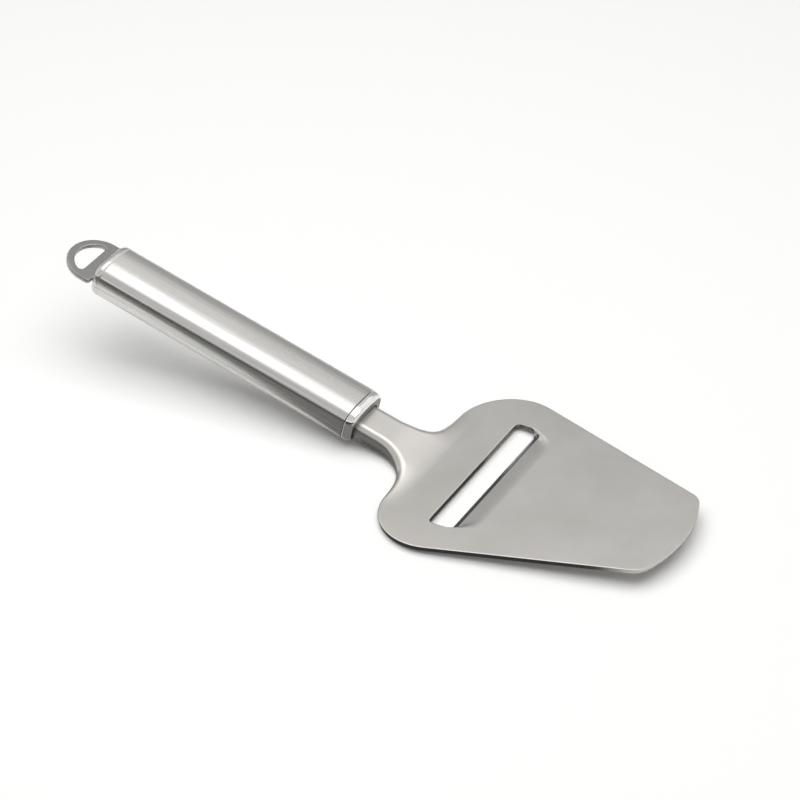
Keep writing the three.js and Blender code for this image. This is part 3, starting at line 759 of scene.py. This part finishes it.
def lay_loop(bm, handle, loop):
    """Lays the loop flat: a ring spun round the hole, and one face for the bar, shoulders and tang."""
    cap = rear_face(handle)
    centre = Vector((cap - loop.reach + loop.radius, 0, 0))
    bar = Vector((cap - loop.bar - loop.corner, 0, 0)) - centre
    bar.y = math.sqrt((loop.hole_radius - loop.corner) ** 2 - bar.x ** 2)
    first = math.atan2(bar.y, bar.x)
    ring_start = [bm.verts.new(on_circle(centre, r, first)) for r in (loop.hole_radius, loop.radius)]
    edge = bm.edges.new(ring_start)
    made = bmesh.ops.spin(bm, geom=[*ring_start, edge], cent=centre, axis=(0, 0, 1),
                          angle=2 * (math.pi - first), steps=LOOP_STEPS, use_merge=False)
    ring_end = only(bmesh.types.BMVert, made["geom_last"])
    ring_end.sort(key=lambda v: (v.co - centre).length)
    corner = [on_circle(centre + bar, loop.corner, a) for a in steps(first, 0, BEND_STEPS)[1:]]
    side = [on_circle(centre, loop.radius, a) for a in steps(first, math.pi / 2, BEND_STEPS)[1:]]
    shoulder = cap - handle.gap
    tang_end = cap + loop.tang_length
    tang_half = loop.tang_width / 2
    for x, y in ((shoulder, loop.radius), (shoulder, tang_half), (tang_end, tang_half)):
        side.append(Vector((x, y, 0)))
    inside = [bm.verts.new(p) for p in [*mirrored(corner), *reversed(corner)]]
    outside = [bm.verts.new(p) for p in [*side, *mirrored(reversed(side))]]
    bm.faces.new([*ring_start, *outside, *reversed(ring_end), *inside])
    bmesh.ops.recalc_face_normals(bm, faces=bm.faces)


def make_loop(handle, loop):
    """The D-shaped plate: its flat outline, its thickness, the shoulders' corners and rounded edges."""
    bm = bmesh.new()
    lay_loop(bm, handle, loop)
    made = bmesh.ops.extrude_face_region(bm, geom=bm.faces[:])
    bmesh.ops.translate(bm, vec=(0, 0, loop.thickness), verts=only(bmesh.types.BMVert, made["geom"]))
    bmesh.ops.translate(bm, vec=(0, 0, -loop.thickness / 2), verts=bm.verts)
    bmesh.ops.recalc_face_normals(bm, faces=bm.faces)
    upright = [e for e in sharp_edges(bm) if all(abs(f.normal.z) < LEVEL for f in e.link_faces)]
    shoulders = [e for e in upright if abs(e.verts[0].co.y) > loop.radius - TOUCH]
    round_edges(bm, shoulders, loop.corner, CAP_STEPS)
    flat_rim = [e for e in sharp_edges(bm) if any(abs(f.normal.z) > LEVEL for f in e.link_faces)]
    round_edges(bm, flat_rim, loop.edge_round, 2 * EDGE_STEPS)
    return bm


# Materials

def add_node(tree, kind, inputs=None, **settings):
    """Adds a node, sets its properties, and gives its inputs values or links."""
    node = tree.nodes.new(kind)
    for key, value in settings.items():
        setattr(node, key, value)
    for key, value in (inputs or {}).items():
        if isinstance(value, bpy.types.NodeSocket):
            tree.links.new(value, node.inputs[key])
        else:
            node.inputs[key].default_value = value
    return node


def emptied(owner):
    """Turns on the nodes of a new material or world, takes them all out and returns its tree."""
    owner.use_nodes = True
    owner.node_tree.nodes.clear()
    return owner.node_tree


def opaque(value):
    """A colour with full alpha."""
    return (*value, 1.0)


def grain(tree, size, place):
    """A cloudy pattern on object coordinates. Its grain lies along the axes of a place and has a size along
    each, in millimetres."""
    coordinates = add_node(tree, "ShaderNodeTexCoord")
    mapping = add_node(tree, "ShaderNodeMapping", {
        "Vector": coordinates.outputs["Object"],
        "Location": place.translation,
        "Rotation": place.to_euler(),
        "Scale": [side * MM for side in size],
    }, vector_type="TEXTURE")
    noise = add_node(tree, "ShaderNodeTexNoise", {
        "Vector": mapping.outputs["Vector"], "Scale": 1.0, "Detail": GRAIN_LAYERS, "Roughness": GRAIN_WEIGHT,
    })
    return noise.outputs["Fac"]


def bare_steel(name, size, dull, depth, light, dark, place=Matrix(), patches=None, painted_light=None):
    """Bare stainless steel with a grain of the size given. The grain varies the roughness between the two
    dull values, dents the steel to a depth in millimetres, and varies its colour from light to dark, unless
    patches of another size do that. Painted light is an attribute of the mesh and the colour painted where it
    is
    1: painted shade or a painted highlight."""
    material = bpy.data.materials.new(name)
    tree = emptied(material)
    pattern = grain(tree, size, place)
    roughness = add_node(tree, "ShaderNodeMapRange", {
        "Value": pattern, "From Min": GRAIN_LOW, "From Max": GRAIN_HIGH, "To Min": dull[0], "To Max": dull[1],
    })
    dents = add_node(tree, "ShaderNodeBump", {"Height": pattern, "Distance": depth * MM})
    clouds = grain(tree, patches, place) if patches else pattern
    shade = add_node(tree, "ShaderNodeMapRange", {
        "Value": clouds, "From Min": GRAIN_LOW, "From Max": GRAIN_HIGH,
    })
    tone = add_node(tree, "ShaderNodeMix", {
        "Factor": shade.outputs["Result"], "A": opaque(light), "B": opaque(dark),
    }, data_type="RGBA")
    # Painted light: painted shade on the blade's top edges, or a painted highlight round the tip's rim
    if painted_light:
        attribute, painted_colour = painted_light
        mask = add_node(tree, "ShaderNodeAttribute", attribute_name=attribute)
        tone = add_node(tree, "ShaderNodeMix", {
            "Factor": mask.outputs["Fac"], "A": tone.outputs["Result"], "B": opaque(painted_colour),
        }, data_type="RGBA")
    shader = add_node(tree, "ShaderNodeBsdfPrincipled", {
        "Metallic": 1.0,
        "Base Color": tone.outputs["Result"],
        "Roughness": roughness.outputs["Result"],
        "Normal": dents.outputs["Normal"],
    })
    add_node(tree, "ShaderNodeOutputMaterial", {"Surface": shader.outputs["BSDF"]})
    return material


def satin_sheet(steel):
    """Stainless sheet with a fine satin finish: soft reflections, a faint grain and slightly duller patches.
    The grain is drawn at 0.5 mm, coarser than the real one, so that it shows. Rubbed edges get painted shade:
    a little darker, which keeps the line of light along them soft."""
    return bare_steel("satin_stainless_sheet", size=(0.5, 0.5, 0.5), dull=(0.3, 0.36), depth=0.002,
                      light=steel.sheet, dark=steel.sheet_dark, patches=(24, 24, 24),
                      painted_light=(EDGE_SHADE, steel.edge))


def ground_edge(steel):
    """Stainless steel ground on a wheel: a sheen with fine streaks across the cutting edge, 0.3 mm apart. Its
    dark grey is painted shade, standing in for the shadowed table that the bevel reflects."""
    return bare_steel("ground_stainless_edge", size=(4, 0.3, 4), dull=(0.16, 0.3), depth=0.004,
                      light=steel.ground, dark=steel.ground_dark)


def sheared_edge(steel):
    """Cut wall of the sheet: dull, with fine tears 0.3 mm apart, as the punch left it. Its dark grey is
    partly its own and partly painted shade for the shadowed table it reflects. Round the tip a painted
    highlight makes it a lighter grey."""
    return bare_steel("sheared_stainless_edge", size=(0.3, 0.3, 4), dull=(0.4, 0.55), depth=0.01,
                      light=steel.sheared, dark=steel.sheared_dark, painted_light=(TIP_HIGHLIGHT, steel.sheet_dark))


def brushed(name, steel, handle):
    """Stainless steel brushed along the handle with a belt: fine scratches 0.2 mm apart and many times
    as long."""
    return bare_steel(name, size=(45, 0.2, 0.2), dull=(0.22, 0.34), depth=0.005,
                      light=steel.tube, dark=steel.tube_dark, place=handle_place(handle))


def polished_cap(steel):
    """Drawn stainless cup polished on a mop: near mirror, with a faint haze of wipe marks 0.4 mm wide."""
    return bare_steel("polished_stainless_cap", size=(0.4, 3, 3), dull=(0.08, 0.15), depth=0.001,
                      light=steel.cap, dark=steel.tube)


def drawn_face(steel):
    """Face of the drawn cup, which the mop doesn't reach behind the neck: dull, with marks 0.6 mm wide. Its
    dark grey is painted shade, standing in for the shadowed table that the face reflects."""
    return bare_steel("drawn_stainless_face", size=(0.6, 0.6, 0.6), dull=(0.3, 0.4), depth=0.002,
                      light=steel.face, dark=steel.face_dark)


def tumbled_plate(steel):
    """Punched stainless plate tumbled with stones: an even sheen with soft dents 0.8 mm across."""
    return bare_steel("tumbled_stainless_plate", size=(0.8, 0.8, 0.8), dull=(0.14, 0.22), depth=0.004,
                      light=steel.loop, dark=steel.loop_dark)


def bare_weld(steel):
    """Bare weld metal as it froze: a dull grey with ripples 1 mm apart and a straw tint."""
    return bare_steel("bare_stainless_weld", size=(3, 1, 3), dull=(0.35, 0.55), depth=0.05,
                      light=steel.weld, dark=steel.weld_tint)


# Stage

def seen_ray(tree):
    """1 for rays from the eye: straight, off metal or through glass."""
    rays = add_node(tree, "ShaderNodeLightPath").outputs
    seen = rays["Is Camera Ray"]
    for kind in ("Is Glossy Ray", "Is Transmission Ray"):
        seen = add_node(tree, "ShaderNodeMath", {0: seen, 1: rays[kind]}, operation="MAXIMUM").outputs[0]
    return seen


def white_table(stage):
    """Matt white card. The eye and the steel see it a little lifted, more so where the lamps don't reach, and
    it keeps the object's shadow."""
    material = bpy.data.materials.new("white_table")
    tree = emptied(material)
    grey = add_node(tree, "ShaderNodeBsdfDiffuse", {"Color": opaque(stage.table_bounce)})
    white = add_node(tree, "ShaderNodeBsdfDiffuse", {"Color": opaque(stage.table)})
    place = add_node(tree, "ShaderNodeTexCoord").outputs["Object"]
    away = add_node(tree, "ShaderNodeVectorMath", {0: place}, operation="LENGTH").outputs["Value"]
    lift = add_node(tree, "ShaderNodeMapRange", {
        "Value": away, "From Min": stage.lift_start, "From Max": stage.lift_end,
        "To Min": stage.table_lift, "To Max": stage.far_lift,
    }, interpolation_type="SMOOTHSTEP")
    glow = add_node(tree, "ShaderNodeEmission", {"Strength": lift.outputs["Result"]})
    lifted = add_node(tree, "ShaderNodeAddShader", {0: white.outputs[0], 1: glow.outputs[0]})
    both = add_node(tree, "ShaderNodeMixShader", {
        0: seen_ray(tree), 1: grey.outputs[0], 2: lifted.outputs[0],
    })
    add_node(tree, "ShaderNodeOutputMaterial", {"Surface": both.outputs[0]})
    return material


def lit_paper(name, strength):
    """Evenly lit studio paper."""
    material = bpy.data.materials.new(name)
    tree = emptied(material)
    glow = add_node(tree, "ShaderNodeEmission", {"Strength": strength})
    add_node(tree, "ShaderNodeOutputMaterial", {"Surface": glow.outputs[0]})
    return material


def put_sheet(scene, name, place, size, material):
    """A flat sheet of the stage, which isn't part of the object."""
    bm = bmesh.new()
    bmesh.ops.create_grid(bm, x_segments=1, y_segments=1, size=GRID_HALF)
    bmesh.ops.scale(bm, vec=(*size, 1), verts=bm.verts)
    bm.transform(place)
    mesh = bpy.data.meshes.new(name)
    bm.to_mesh(mesh)
    bm.free()
    mesh.materials.append(material)
    sheet = bpy.data.objects.new(name, mesh)
    scene.collection.objects.link(sheet)
    return sheet


def put_flag(scene, name, place, size, strength):
    """A sheet of lit paper that only the steel sees: it gives the steel its lighter and darker bands."""
    flag = put_sheet(scene, name, place, size, lit_paper(name, strength))
    flag.visible_camera = False
    flag.visible_diffuse = False
    flag.visible_shadow = False


def put_flags(scene):
    """A grey wall and a white card behind the object, a low dark wall in front of it, and a dark card from
    there to the tool."""
    stage = scene.slicer_stage
    upright = Matrix.Rotation(math.pi / 2, 4, "X")
    width = STUDIO_WIDTH / 2 + stage.back_wall_end
    middle = stage.back_wall_end - width / 2
    back = Matrix.Translation((middle, stage.back_distance, stage.back_wall_height / 2))
    put_flag(scene, "grey wall", back @ upright, (width, stage.back_wall_height), stage.back_wall)
    side = stage.white_card_size
    corner = Vector((stage.white_card_start, stage.back_distance - CARD_SPACE, stage.white_card_low))
    white = Matrix.Translation(corner + Vector((side / 2, 0, side / 2)))
    put_flag(scene, "white card", white @ upright, (side, side), stage.white_card)
    front = Matrix.Translation((0, -stage.front_distance, stage.front_wall_height / 2))
    put_flag(scene, "dark wall", front @ upright, (STUDIO_WIDTH, stage.front_wall_height), stage.front_wall)
    width = STUDIO_WIDTH / 2 + stage.dark_card_end
    middle = stage.dark_card_end - width / 2
    depth = stage.front_distance - stage.dark_card_gap
    lying = Matrix.Translation((middle, -(stage.dark_card_gap + stage.front_distance) / 2, CARD_HEIGHT))
    turn = Matrix.Rotation(stage.dark_card_turn, 4, "Z")
    put_flag(scene, "dark card", turn @ lying, (width, depth), stage.dark_card)


def light_dome(scene):
    """A white studio, greyer overhead. Matt surfaces get less of its light than the eye and the steel see."""
    stage = scene.slicer_stage
    world = bpy.data.worlds.new("studio")
    scene.world = world
    tree = emptied(world)
    direction = add_node(tree, "ShaderNodeTexCoord").outputs["Generated"]
    rise = add_node(tree, "ShaderNodeSeparateXYZ", {0: direction}).outputs["Z"]
    fade = add_node(tree, "ShaderNodeMapRange", {
        "Value": rise, "From Min": DOME_WHITE, "From Max": DOME_GREY, "To Min": 1.0, "To Max": stage.overhead,
    }, interpolation_type="SMOOTHSTEP")
    white = add_node(tree, "ShaderNodeMapRange", {
        "Value": seen_ray(tree), "To Min": stage.fill, "To Max": 1.0,
    })
    strength = add_node(tree, "ShaderNodeMath", {
        0: fade.outputs["Result"], 1: white.outputs["Result"],
    }, operation="MULTIPLY")
    sky = add_node(tree, "ShaderNodeBackground", {"Color": (1, 1, 1, 1), "Strength": strength.outputs[0]})
    add_node(tree, "ShaderNodeOutputWorld", {"Surface": sky.outputs[0]})


def hang_softbox(scene, name, direction, size, brightness):
    """A softbox that faces the object. Its power follows from its area and how bright its face is."""
    lamp = bpy.data.lights.new(name, "AREA")
    lamp.shape = "RECTANGLE"
    lamp.size, lamp.size_y = size
    lamp.energy = brightness * math.pi * lamp.size * lamp.size_y
    box = bpy.data.objects.new(name, lamp)
    scene.collection.objects.link(box)
    box.location = direction * scene.slicer_stage.lamp_distance
    box.rotation_euler = direction.to_track_quat("Z", "Y").to_euler()
    return box


def hang_lamps(scene):
    """A long softbox above and behind the object, for the steel alone, and a square one for matt surfaces."""
    stage = scene.slicer_stage
    behind = Vector((0, math.cos(stage.softbox_angle), math.sin(stage.softbox_angle)))
    size = (stage.softbox_length, stage.softbox_depth)
    long_box = hang_softbox(scene, "long softbox", behind, size, stage.softbox)
    long_box.visible_diffuse = False
    overhead = Vector((0, -math.sin(stage.ceiling_angle), math.cos(stage.ceiling_angle)))
    size = (stage.ceiling_size, stage.ceiling_size)
    ceiling_box = hang_softbox(scene, "ceiling softbox", overhead, size, stage.ceiling_box)
    ceiling_box.visible_glossy = False


def set_camera(scene):
    """The camera at the picture's angle, aimed at the middle of the object."""
    stage = scene.slicer_stage
    level = math.cos(stage.elevation)
    sideways = math.sin(stage.azimuth) * level
    back = Vector((sideways, -math.cos(stage.azimuth) * level, math.sin(stage.elevation)))
    right = Vector((math.cos(stage.azimuth), math.sin(stage.azimuth), 0))
    axes = Matrix((right, back.cross(right), back)).transposed().to_4x4()
    data = bpy.data.cameras.new("camera")
    data.lens = stage.lens
    data.clip_start = CLIP_START
    camera = bpy.data.objects.new("camera", data)
    scene.collection.objects.link(camera)
    place = Matrix.Translation(Vector(stage.aim) + stage.distance * back)
    camera.matrix_world = place @ axes @ Matrix.Rotation(stage.roll, 4, "Z")
    scene.camera = camera


# Operators

class SLICER_OT_blade(bpy.types.Operator):
    """Models the stamped blade with its slot, lip and neck"""
    bl_idname = "slicer.blade"
    bl_label = "Blade"

    def execute(self, context):
        scene = context.scene
        steel = scene.slicer_steel
        finishes = [satin_sheet(steel), ground_edge(steel), sheared_edge(steel)]
        bm = make_blade(scene.slicer_blade, scene.slicer_handle, sheet=0, ground=1, sheared=2)
        add_piece(bm, "stamped_blade", TOOL_PLACE, ["blade"], finishes)
        return {"FINISHED"}


class SLICER_OT_tube(bpy.types.Operator):
    """Models the brushed tube of the handle"""
    bl_idname = "slicer.tube"
    bl_label = "Handle tube"

    def execute(self, context):
        scene = context.scene
        handle = scene.slicer_handle
        finish = brushed("brushed_stainless_tube", scene.slicer_steel, handle)
        bm = make_tube(handle)
        add_piece(bm, "brushed_tube", handle_place(handle), ["handle_tube"], [finish])
        return {"FINISHED"}


class SLICER_OT_caps(bpy.types.Operator):
    """Models the drawn cups that close the tube"""
    bl_idname = "slicer.caps"
    bl_label = "End caps"

    def execute(self, context):
        scene = context.scene
        handle = scene.slicer_handle
        steel = scene.slicer_steel
        place = handle_place(handle)
        # The face's finish, whose dark grey is painted shade
        front = make_front_cap(scene.slicer_blade, handle, dull=1)
        finishes = [polished_cap(steel), drawn_face(steel)]
        add_piece(front, "polished_front_cap", place, ["front_cap"], finishes)
        rear = make_rear_cap(handle, scene.slicer_loop)
        finish = brushed("brushed_stainless_cap", steel, handle)
        add_piece(rear, "brushed_rear_cap", place, ["rear_cap"], [finish])
        return {"FINISHED"}


class SLICER_OT_loop(bpy.types.Operator):
    """Models the D-shaped hanging loop"""
    bl_idname = "slicer.loop"
    bl_label = "Hanging loop"

    def execute(self, context):
        scene = context.scene
        handle = scene.slicer_handle
        finish = tumbled_plate(scene.slicer_steel)
        bm = make_loop(handle, scene.slicer_loop)
        add_piece(bm, "tumbled_loop", handle_place(handle), ["hanging_loop"], [finish])
        return {"FINISHED"}


class SLICER_OT_welds(bpy.types.Operator):
    """Gives the weld beads inside the caps their finish"""
    bl_idname = "slicer.welds"
    bl_label = "Weld beads"

    def execute(self, context):
        finish = bare_weld(context.scene.slicer_steel)
        for node in ("neck_weld", "loop_weld"):
            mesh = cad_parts[node].data
            mesh.materials.clear()
            mesh.materials.append(finish)
        return {"FINISHED"}


class SLICER_OT_stage(bpy.types.Operator):
    """Sets up the white table, the soft studio light and the camera"""
    bl_idname = "slicer.stage"
    bl_label = "Stage"

    def execute(self, context):
        scene = context.scene
        stage = scene.slicer_stage
        scene.view_settings.view_transform = "Standard"
        put_sheet(scene, "table", Matrix(), (TABLE_SIZE, TABLE_SIZE), white_table(stage))
        put_flags(scene)
        light_dome(scene)
        hang_lamps(scene)
        set_camera(scene)
        return {"FINISHED"}


class SLICER_PT_panel(bpy.types.Panel):
    """Lists the slicer's pieces and sizes"""
    bl_label = "Cheese slicer"
    bl_space_type = "VIEW_3D"
    bl_region_type = "UI"
    bl_category = "Slicer"

    def draw(self, context):
        for operator in OPERATORS:
            self.layout.operator(operator.bl_idname)
        for attribute, group in GROUPS.items():
            box = self.layout.box()
            box.label(text=group.__doc__)
            for key in group.__annotations__:
                box.prop(getattr(context.scene, attribute), key)


GROUPS = {
    "slicer_blade": BladeSizes,
    "slicer_handle": HandleSizes,
    "slicer_loop": LoopSizes,
    "slicer_steel": SteelColours,
    "slicer_stage": StageSettings,
}
OPERATORS = (
    SLICER_OT_blade,
    SLICER_OT_tube,
    SLICER_OT_caps,
    SLICER_OT_loop,
    SLICER_OT_welds,
    SLICER_OT_stage,
)
CLASSES = (*GROUPS.values(), *OPERATORS, SLICER_PT_panel)


def register():
    """Adds the add-on's classes, and its settings to every scene."""
    for item in CLASSES:
        bpy.utils.register_class(item)
    for attribute, group in GROUPS.items():
        setattr(bpy.types.Scene, attribute, PointerProperty(type=group))


def unregister():
    """Takes the settings and the classes out again."""
    for attribute in GROUPS:
        delattr(bpy.types.Scene, attribute)
    for item in reversed(CLASSES):
        bpy.utils.unregister_class(item)


def main():
    """Registers the add-on, and makes every piece and the stage."""
    register()
    bpy.ops.slicer.blade()
    bpy.ops.slicer.tube()
    bpy.ops.slicer.caps()
    bpy.ops.slicer.loop()
    bpy.ops.slicer.welds()
    bpy.ops.slicer.stage()


if __name__ == "__main__":
    main()
